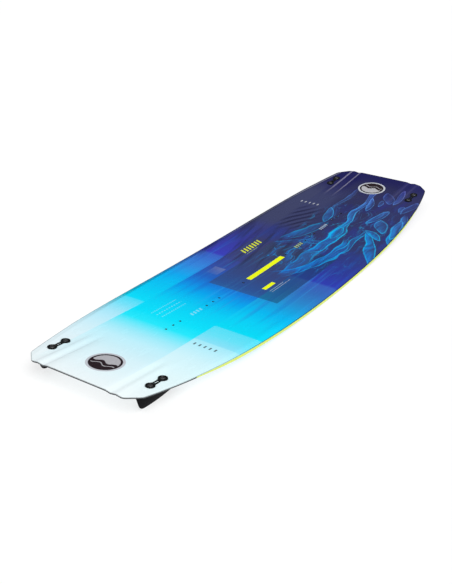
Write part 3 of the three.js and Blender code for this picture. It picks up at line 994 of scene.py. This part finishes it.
def edge_shade(paint, colour):
    """Painted shade and a painted highlight line on the left bevel, and a dark line all round."""
    left = side_half_width(paint.x / SIDE_CORNER_X) - paint.y
    # painted shade: the left bevel is darkened, more strongly towards the nose
    bevel = ramped(left, BEVEL_WIDTH + 1, BEVEL_WIDTH - 4)
    strength = ramped(paint.x, -520, -260) * 0.28 + 0.06
    colour = mixed(colour, (0.002, 0.003, 0.006), bevel * strength)
    # painted highlight: a pale line along the left bevel towards the nose
    strength = (ramped(paint.x, 60, 180) + ramped(paint.x, 400, 500)) * 0.25
    colour = mixed(colour, (0.3, 0.31, 0.42), within(left, *BEVEL_HIGHLIGHT, 1.5) * strength)
    strength = ramped(paint.x, -480, -200) * 0.35 + 0.4
    border = 1 - above(edge_distance(paint), BORDER_WIDTH, 0.5)
    return mixed(colour, (0.006, 0.008, 0.012), border * strength)


# Printed bars: x range, y range, colour, strength.
BARS = (
    ((-72, 89), (-4, 10), YELLOW, 1),
    ((-98, -52), (-62, -51), YELLOW, 1),
    ((50.5, 100.5), (86.6, 87.8), YELLOW, 0.5),
    ((-98, -36), (-74, -72.8), WHITE, 0.45),
    ((-98, -13), (-80.3, -79.1), WHITE, 0.45),
)

# Rows of dashes along the board: x range, y range, pitch, slant, colour, strength.
DASH_ROWS = (
    ((51, 139), (93.5, 112.5), 12.6, 0.35, YELLOW, 0.75),
    ((154, 191), (-2, 9), 9.3, 0.2, (0.5, 0.62, 0.12), 0.75),
    ((289, 329), (-1, 9), 8, 0.2, WHITE, 0.4),
    ((-312, -268), (-2, 8), 11, 0.2, WHITE, 0.22),
    ((-360, -268), (46, 49), 7, 0, WHITE, 0.2),
    ((-360, -268), (61, 64), 9, 0, WHITE, 0.2),
    ((-360, -268), (76, 79), 6, 0, WHITE, 0.2),
)

# Columns of dashes across the board: x range, y range, colour, strength.
DASH_COLUMNS = (
    ((-423, -413), (-142, -80), (0.03, 0.03, 0.05), 0.85),
    ((427, 437), (84, 150), WHITE, 0.42),
)
COLUMN_PITCH = 13.2

PATCH_X = (-97, -57)
PATCH_Y = (80, 112)


def marks(paint, colour):
    """Printed bars and dashes and a pale patch, none of them lettering."""
    x, y = paint.x, paint.y
    for x_range, y_range, ink, strength in BARS:
        colour = mixed(colour, ink, box_mask(x, y, x_range, y_range) * strength)
    for x_range, y_range, pitch, slant, ink, strength in DASH_ROWS:
        slanted = x - (y - y_range[0]) * slant
        phase = ((slanted - x_range[0]) / pitch).math("FRACT")
        dashes = box_mask(slanted, y, x_range, y_range) * within(phase, 0.14, 0.62, 0.05)
        colour = mixed(colour, ink, dashes * strength)
    for x_range, y_range, ink, strength in DASH_COLUMNS:
        phase = ((y - y_range[0]) / COLUMN_PITCH).math("FRACT")
        dashes = box_mask(x, y, x_range, y_range) * within(phase, 0.2, 0.5, 0.05)
        colour = mixed(colour, ink, dashes * strength)
    patch = box_mask(x, y, PATCH_X, PATCH_Y, 1)
    glow = ramped(x * 0.6 - y * 0.4, -102, -58)
    return mixed(colour, (0.3, 0.34, 0.5), patch * (glow * 0.3 + 0.06))


BADGE_X = 603.3
BADGE_RADIUS = 40.2
BADGE_DARK_RADIUS = 34.8
BADGE_CENTRE_RADIUS = 30
BADGE_RING = (0.52, 0.55, 0.6)
BADGE_DARK = (0.022, 0.014, 0.018)
BADGE_LIGHT = (0.43, 0.43, 0.46)
WAVE_LENGTH = 33
WAVE_HEIGHT = 4
CREST = (9.8, 12.2)  # the thin light wave, outwards from the middle one


def badges(paint, colour):
    """A round badge at each tip: a pale ring round a disc of dark sea under a light sky."""
    for sign in (-1, 1):
        outward = (paint.x - sign * BADGE_X) * sign
        radius = (outward * outward + paint.y * paint.y).math("SQRT")
        disc = 1 - above(radius, BADGE_RADIUS)
        dark = 1 - above(radius, BADGE_DARK_RADIUS)
        centre = 1 - above(radius, BADGE_CENTRE_RADIUS)
        wave = outward + (paint.y * (2 * math.pi / WAVE_LENGTH)).math("SINE") * WAVE_HEIGHT
        light = (1 - above(wave, 0)) + within(wave, *CREST)
        colour = mixed(colour, BADGE_RING, disc)
        colour = mixed(colour, BADGE_DARK, dark)
        colour = mixed(colour, BADGE_LIGHT, centre * light)
    return colour


def deck_material():
    paint = Paint("printed_deck_and_painted_light")
    board_x, board_y = paint.x, paint.y
    paint.x = board_x - PRINT_ORIGIN[0]
    paint.y = board_y - PRINT_ORIGIN[1]
    colour = hatch(paint, print_gradient(paint))
    colour = streaks(paint, colour)
    colour = dark_panels(paint, colour)
    colour = sweeps(paint, colour)
    colour = sheen_and_folds(paint, colour)
    colour = murk(paint, colour)
    colour = caustics(paint, colour)
    colour = marks(paint, colour)
    paint.x, paint.y = board_x, board_y
    # painted highlights and painted shade, laid over the print
    colour = ridge_highlights_and_shade(paint, colour)
    colour = edge_shade(paint, colour)
    colour = badges(paint, colour)
    roughness = paint.grain(60, 20, 60, detail=3) * 0.12 + 0.2
    height = paint.grain(22, 14, 20, detail=0)
    return paint.finish(colour, roughness, height, depth=0.01, Specular_Ior_Level=0.08)


def base_material():
    """The underside: the same run of colour with streaks and fine scuffs, and no marks."""
    paint = Paint("printed_base")
    colour = streaks(paint, print_gradient(paint))
    scuffs = paint.grain(120, 1.2, 3, detail=3, shift=2)
    colour = mixed(colour, (0.8, 0.85, 0.9), ramped(scuffs, 0.6, 0.78) * 0.07)
    roughness = paint.grain(80, 6, 60, detail=3) * 0.15 + 0.22
    height = paint.grain(90, 1, 3)
    return paint.finish(colour, roughness, height, depth=0.01, Specular_Ior_Level=0.35)


# ---- The other materials ----


def moulded(name, dark, light, roughness, grain_size, depth, **constants):
    """A plastic with a fine moulded grain and a slow change of shade."""
    paint = Paint(name)
    slow = paint.grain(40, 25, 18)
    fine = paint.grain(grain_size, grain_size, grain_size, shift=4)
    colour = mixed(mixed(dark, light, slow), light, ramped(fine, 0.62, 0.8) * 0.5)
    return paint.finish(colour, fine * 0.16 + (roughness - 0.08), fine, depth, **constants)


def milled(name, dark, light, roughness):
    """A plastic edge finished by a cutter: fine marks along the board."""
    paint = Paint(name)
    lines = paint.grain(60, 0.5, 0.35)
    slow = paint.grain(70, 70, 30, shift=6)
    colour = mixed(mixed(dark, light, slow), dark, ramped(lines, 0.6, 0.75) * 0.35)
    return paint.finish(colour, slow * 0.15 + roughness, lines, 0.02)


def turned_metal(name, dark, light, roughness):
    """A metal with fine rings about Z from turning, and stains."""
    paint = Paint(name)
    fine = paint.grain(0.8, 0.8, 0.12, detail=3)
    stain = paint.grain(4, 4, 4, shift=8)
    colour = mixed(mixed(dark, light, fine), dark, ramped(stain, 0.5, 0.75) * 0.5)
    return paint.finish(colour, stain * 0.25 + roughness, fine, 0.01, Metallic=1.0)


ROVING_PITCH = 3.3
STRIP_WIDTH = 32


def glass_weave():
    """Stitched glass rovings in clear epoxy, seen as crossed diagonals."""
    paint = Paint("glass_weave")
    turn = 2 * math.pi / ROVING_PITCH
    first = ((paint.x + paint.y) * turn).math("SINE")
    second = ((paint.x - paint.y) * turn).math("SINE")
    weave = first * second * 0.5 + 0.5
    colour = mixed((0.6, 0.66, 0.56), (0.82, 0.86, 0.8), weave)
    return paint.finish(colour, weave * 0.2 + 0.25, weave, 0.06)


def core_wood():
    """Light wood in glued strips along the board."""
    paint = Paint("core_wood")
    rings = paint.grain(240, 2.4, 6, detail=4)
    pores = paint.grain(9, 0.5, 0.5, detail=1, shift=3)
    joint = (paint.y / STRIP_WIDTH).math("FRACT")
    colour = mixed((0.72, 0.52, 0.3), (0.86, 0.72, 0.5), rings)
    colour = mixed(colour, (0.45, 0.3, 0.17), ramped(pores, 0.62, 0.75) * 0.4)
    colour = mixed(colour, (0.35, 0.22, 0.12), within(joint, 0.49, 0.51, 0.01) * 0.6)
    return paint.finish(colour, rings * 0.2 + 0.6, pores, 0.05)


# ---- Assembly ----

deck_print_and_light = deck_material()
base_print = base_material()
lime = milled("lime_abs", (0.62, 0.74, 0.1), (0.72, 0.83, 0.15), 0.35)
dark_edge = milled("dark_abs", (0.015, 0.017, 0.022), (0.05, 0.055, 0.065), 0.35)
fin_nylon = moulded("fin_nylon", (0.002, 0.002, 0.003), (0.007, 0.007, 0.008), roughness=0.4,
                    grain_size=1.1, depth=0.02, Specular_Ior_Level=0.03)
washer_plastic = moulded("washer_plastic", (0.003, 0.004, 0.004), (0.008, 0.009, 0.01),
                         roughness=0.28, grain_size=0.7, depth=0.012, Specular_Ior_Level=0.15)
black_steel = turned_metal("black_steel", (0.09, 0.09, 0.095), (0.18, 0.18, 0.185), 0.3)
# painted shade: the inserts' steel is darkened far below real steel to stand for the shade inside
# the deck's holes
shaded_stainless = turned_metal("shaded_stainless", (0.03, 0.034, 0.036), (0.065, 0.07, 0.074), 0.3)
brass = turned_metal("brass", (0.5, 0.37, 0.14), (0.72, 0.56, 0.27), 0.2)

FIN_SETS = [f"{end}_{side}" for end in ("tail", "nose") for side in ("left", "right")]
INSERTS = [f"binding_insert_{end}_{n}" for end in ("tail", "nose") for n in range(1, 7)]
INSERTS += ["handle_insert_tail", "handle_insert_nose"]
SCREW_PLACES = (("outer", FIN_SCREW_SPREAD), ("inner", -FIN_SCREW_SPREAD))
WASHER_MIDDLE = BOARD_GAP + WASHER_THICKNESS / 2
INSERT_MIDDLE = (INSERT_TOP + INSERT_BOTTOM) / 2


def plan_of(place):
    return np.array(place.translation[:2])


def board_pieces(screw_holes, insert_holes):
    base_holes = [(centre, SCREW_HOLE_RADIUS) for centre in screw_holes]
    deck_holes = base_holes + [(centre, DECK_HOLE_RADIUS) for centre in insert_holes]
    deck = layer(deck_height, raised(deck_height, -TOP_SHEET), deck_holes)
    base = layer(raised(base_height, BASE_SHEET), base_height, base_holes, BASE_SETBACK)
    piece("deck_sheet", deck, deck_print_and_light, "printed_top_sheet", "top_sheet")
    piece("running_sheet", base, base_print, "printed_base_sheet", "base_sheet")


def rail_pieces():
    under_deck = -(TOP_SHEET + BOND)
    over_base = BASE_SHEET + BOND
    lip = BASE_SETBACK - BOND
    section = (
        (RAIL_LIP, deck_height, under_deck),
        (RAIL_CHAMFER, deck_height, under_deck),
        (0, deck_height, under_deck - RAIL_CHAMFER),
        (0, base_height, RAIL_CHAMFER),
        (RAIL_CHAMFER, base_height, 0),
        (lip, base_height, 0),
        (lip, base_height, over_base),
        (RAIL_LIP, base_height, over_base),
    )
    side = side_path(RAIL_END_X - RAIL_GAP)
    nose = nose_path(RAIL_END_X + RAIL_GAP)
    piece("side_rail_right", swept(side, section), lime, "lime_rail", "rail_right")
    piece("side_rail_left", swept(-side, section), lime, "lime_rail", "rail_left")
    piece("nose_edging", swept(nose, section), dark_edge, "dark_edging", "tip_rail_nose")
    piece("tail_edging", swept(-nose, section), dark_edge, "dark_edging", "tip_rail_tail")


def fin_pieces(name, place):
    x, y = plan_of(place)
    top = base_height(x, y) - deck_height(x, y) - BOARD_GAP
    piece(f"fin_blade_{name}", fin(top), fin_nylon, "fin_nylon", f"fin_{name}", place=place)
    piece(f"dog_bone_{name}", fin_washer(), washer_plastic, "washer_plastic",
          f"fin_washer_{name}", place=place)
    for end, along in SCREW_PLACES:
        piece(f"hex_screw_{name}_{end}", fin_screw(), black_steel, "black_screw_steel",
              f"fin_screw_{name}_{end}", place=place @ Matrix.Translation((along, 0, 0)))


def assemble():
    fin_places = {}
    for name in FIN_SETS:
        fin_places[name] = deck_frame(node_centre(f"fin_washer_{name}"), -WASHER_MIDDLE)
    insert_places = {name: deck_frame(node_centre(name), -INSERT_MIDDLE) for name in INSERTS}
    screw_holes = []
    for place in fin_places.values():
        screw_holes += [plan_of(place @ Matrix.Translation((x, 0, 0))) for _, x in SCREW_PLACES]
    board_pieces(screw_holes, [plan_of(place) for place in insert_places.values()])
    rail_pieces()
    for name, place in fin_places.items():
        fin_pieces(name, place)
    for name, place in insert_places.items():
        piece(f"threaded_{name}", deck_insert(), shaded_stainless, "insert_stainless", name, place=place)


def paint_node(node, material):
    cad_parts[node].data.materials.clear()
    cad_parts[node].data.materials.append(material)


def paint_hidden_nodes():
    weave = glass_weave()
    paint_node("top_laminate", weave)
    paint_node("bottom_laminate", weave)
    paint_node("wood_core", core_wood())
    for name in FIN_SETS:
        for end, _ in SCREW_PLACES:
            paint_node(f"fin_insert_{name}_{end}", brass)


# ---- Studio ----

CAMERA_PLACE = (-1.7265, -1.0370, 0.9563)  # from the deck's edge at the board's middle
CAMERA_TURN = (63.094, -0.406, -56.032)
CAMERA_LENS = 54.86
FLOOR_HALF = 14
KEY_DIRECTION = (-0.3, -0.65, 1)
KEY_STRENGTH = 1.9
KEY_ANGLE = math.radians(45)


def camera():
    data = bpy.data.cameras.new("camera")
    data.lens = CAMERA_LENS
    made = linked("camera", data)
    made.location = Vector(CAMERA_PLACE) + Vector((0, 0, EDGE_LEVEL * MM))
    made.rotation_euler = [math.radians(turn) for turn in CAMERA_TURN]
    scene.camera = made


def light_table():
    """A white floor that glows, so that the shadow under the board stays faint."""
    mesh = bpy.data.meshes.new("floor")
    signs = ((-1, -1), (1, -1), (1, 1), (-1, 1))
    mesh.from_pydata([(x * FLOOR_HALF, y * FLOOR_HALF, 0) for x, y in signs], [], [(0, 1, 2, 3)])
    paint = Paint("floor")
    cloud = paint.grain(900, 900, 900)
    colour = mixed((0.3, 0.3, 0.3), (0.33, 0.33, 0.33), cloud)
    glow = mixed((0.67, 0.67, 0.67), (0.7, 0.7, 0.7), cloud)
    paint.finish(colour, 0.9, Specular_Ior_Level=0.0, Emission_Color=glow, Emission_Strength=1.0)
    mesh.materials.append(paint.material)
    made = linked("floor", mesh)


def key_light():
    """A broad soft light, the same all over the floor."""
    data = bpy.data.lights.new("key", "SUN")
    data.energy = KEY_STRENGTH
    data.angle = KEY_ANGLE
    turn = Vector(KEY_DIRECTION).to_track_quat("Z", "Y")
    linked("key", data).rotation_euler = turn.to_euler()


def dome():
    """A sky that lights from above and from the tail's right only, so that the deck stays free
    of glare. The camera sees it as plain white."""
    world = bpy.data.worlds.new("dome")
    world.use_nodes = True
    nodes = world.node_tree.nodes
    parts = nodes.new("ShaderNodeSeparateXYZ")
    feed(Field(nodes.new("ShaderNodeTexCoord").outputs["Generated"]), parts.inputs[0])
    overhead = ramped(Field(parts.outputs["Z"]), 0.35, 0.95) * 0.6
    facing = ramped(Field(parts.outputs["X"]) * 0.75 + Field(parts.outputs["Y"]) * 0.65, 0.4, -0.6)
    lit = overhead + facing * 0.48 + 0.03
    seen = Field(nodes.new("ShaderNodeLightPath").outputs["Is Camera Ray"])
    feed(lit + seen * (1 - lit), nodes["Background"].inputs["Strength"])
    nodes["Background"].inputs["Color"].default_value = (1, 1, 1, 1)
    scene.world = world


def studio():
    scene.view_settings.view_transform = "Standard"
    dome()
    key_light()
    light_table()


camera()
assemble()
paint_hidden_nodes()
studio()
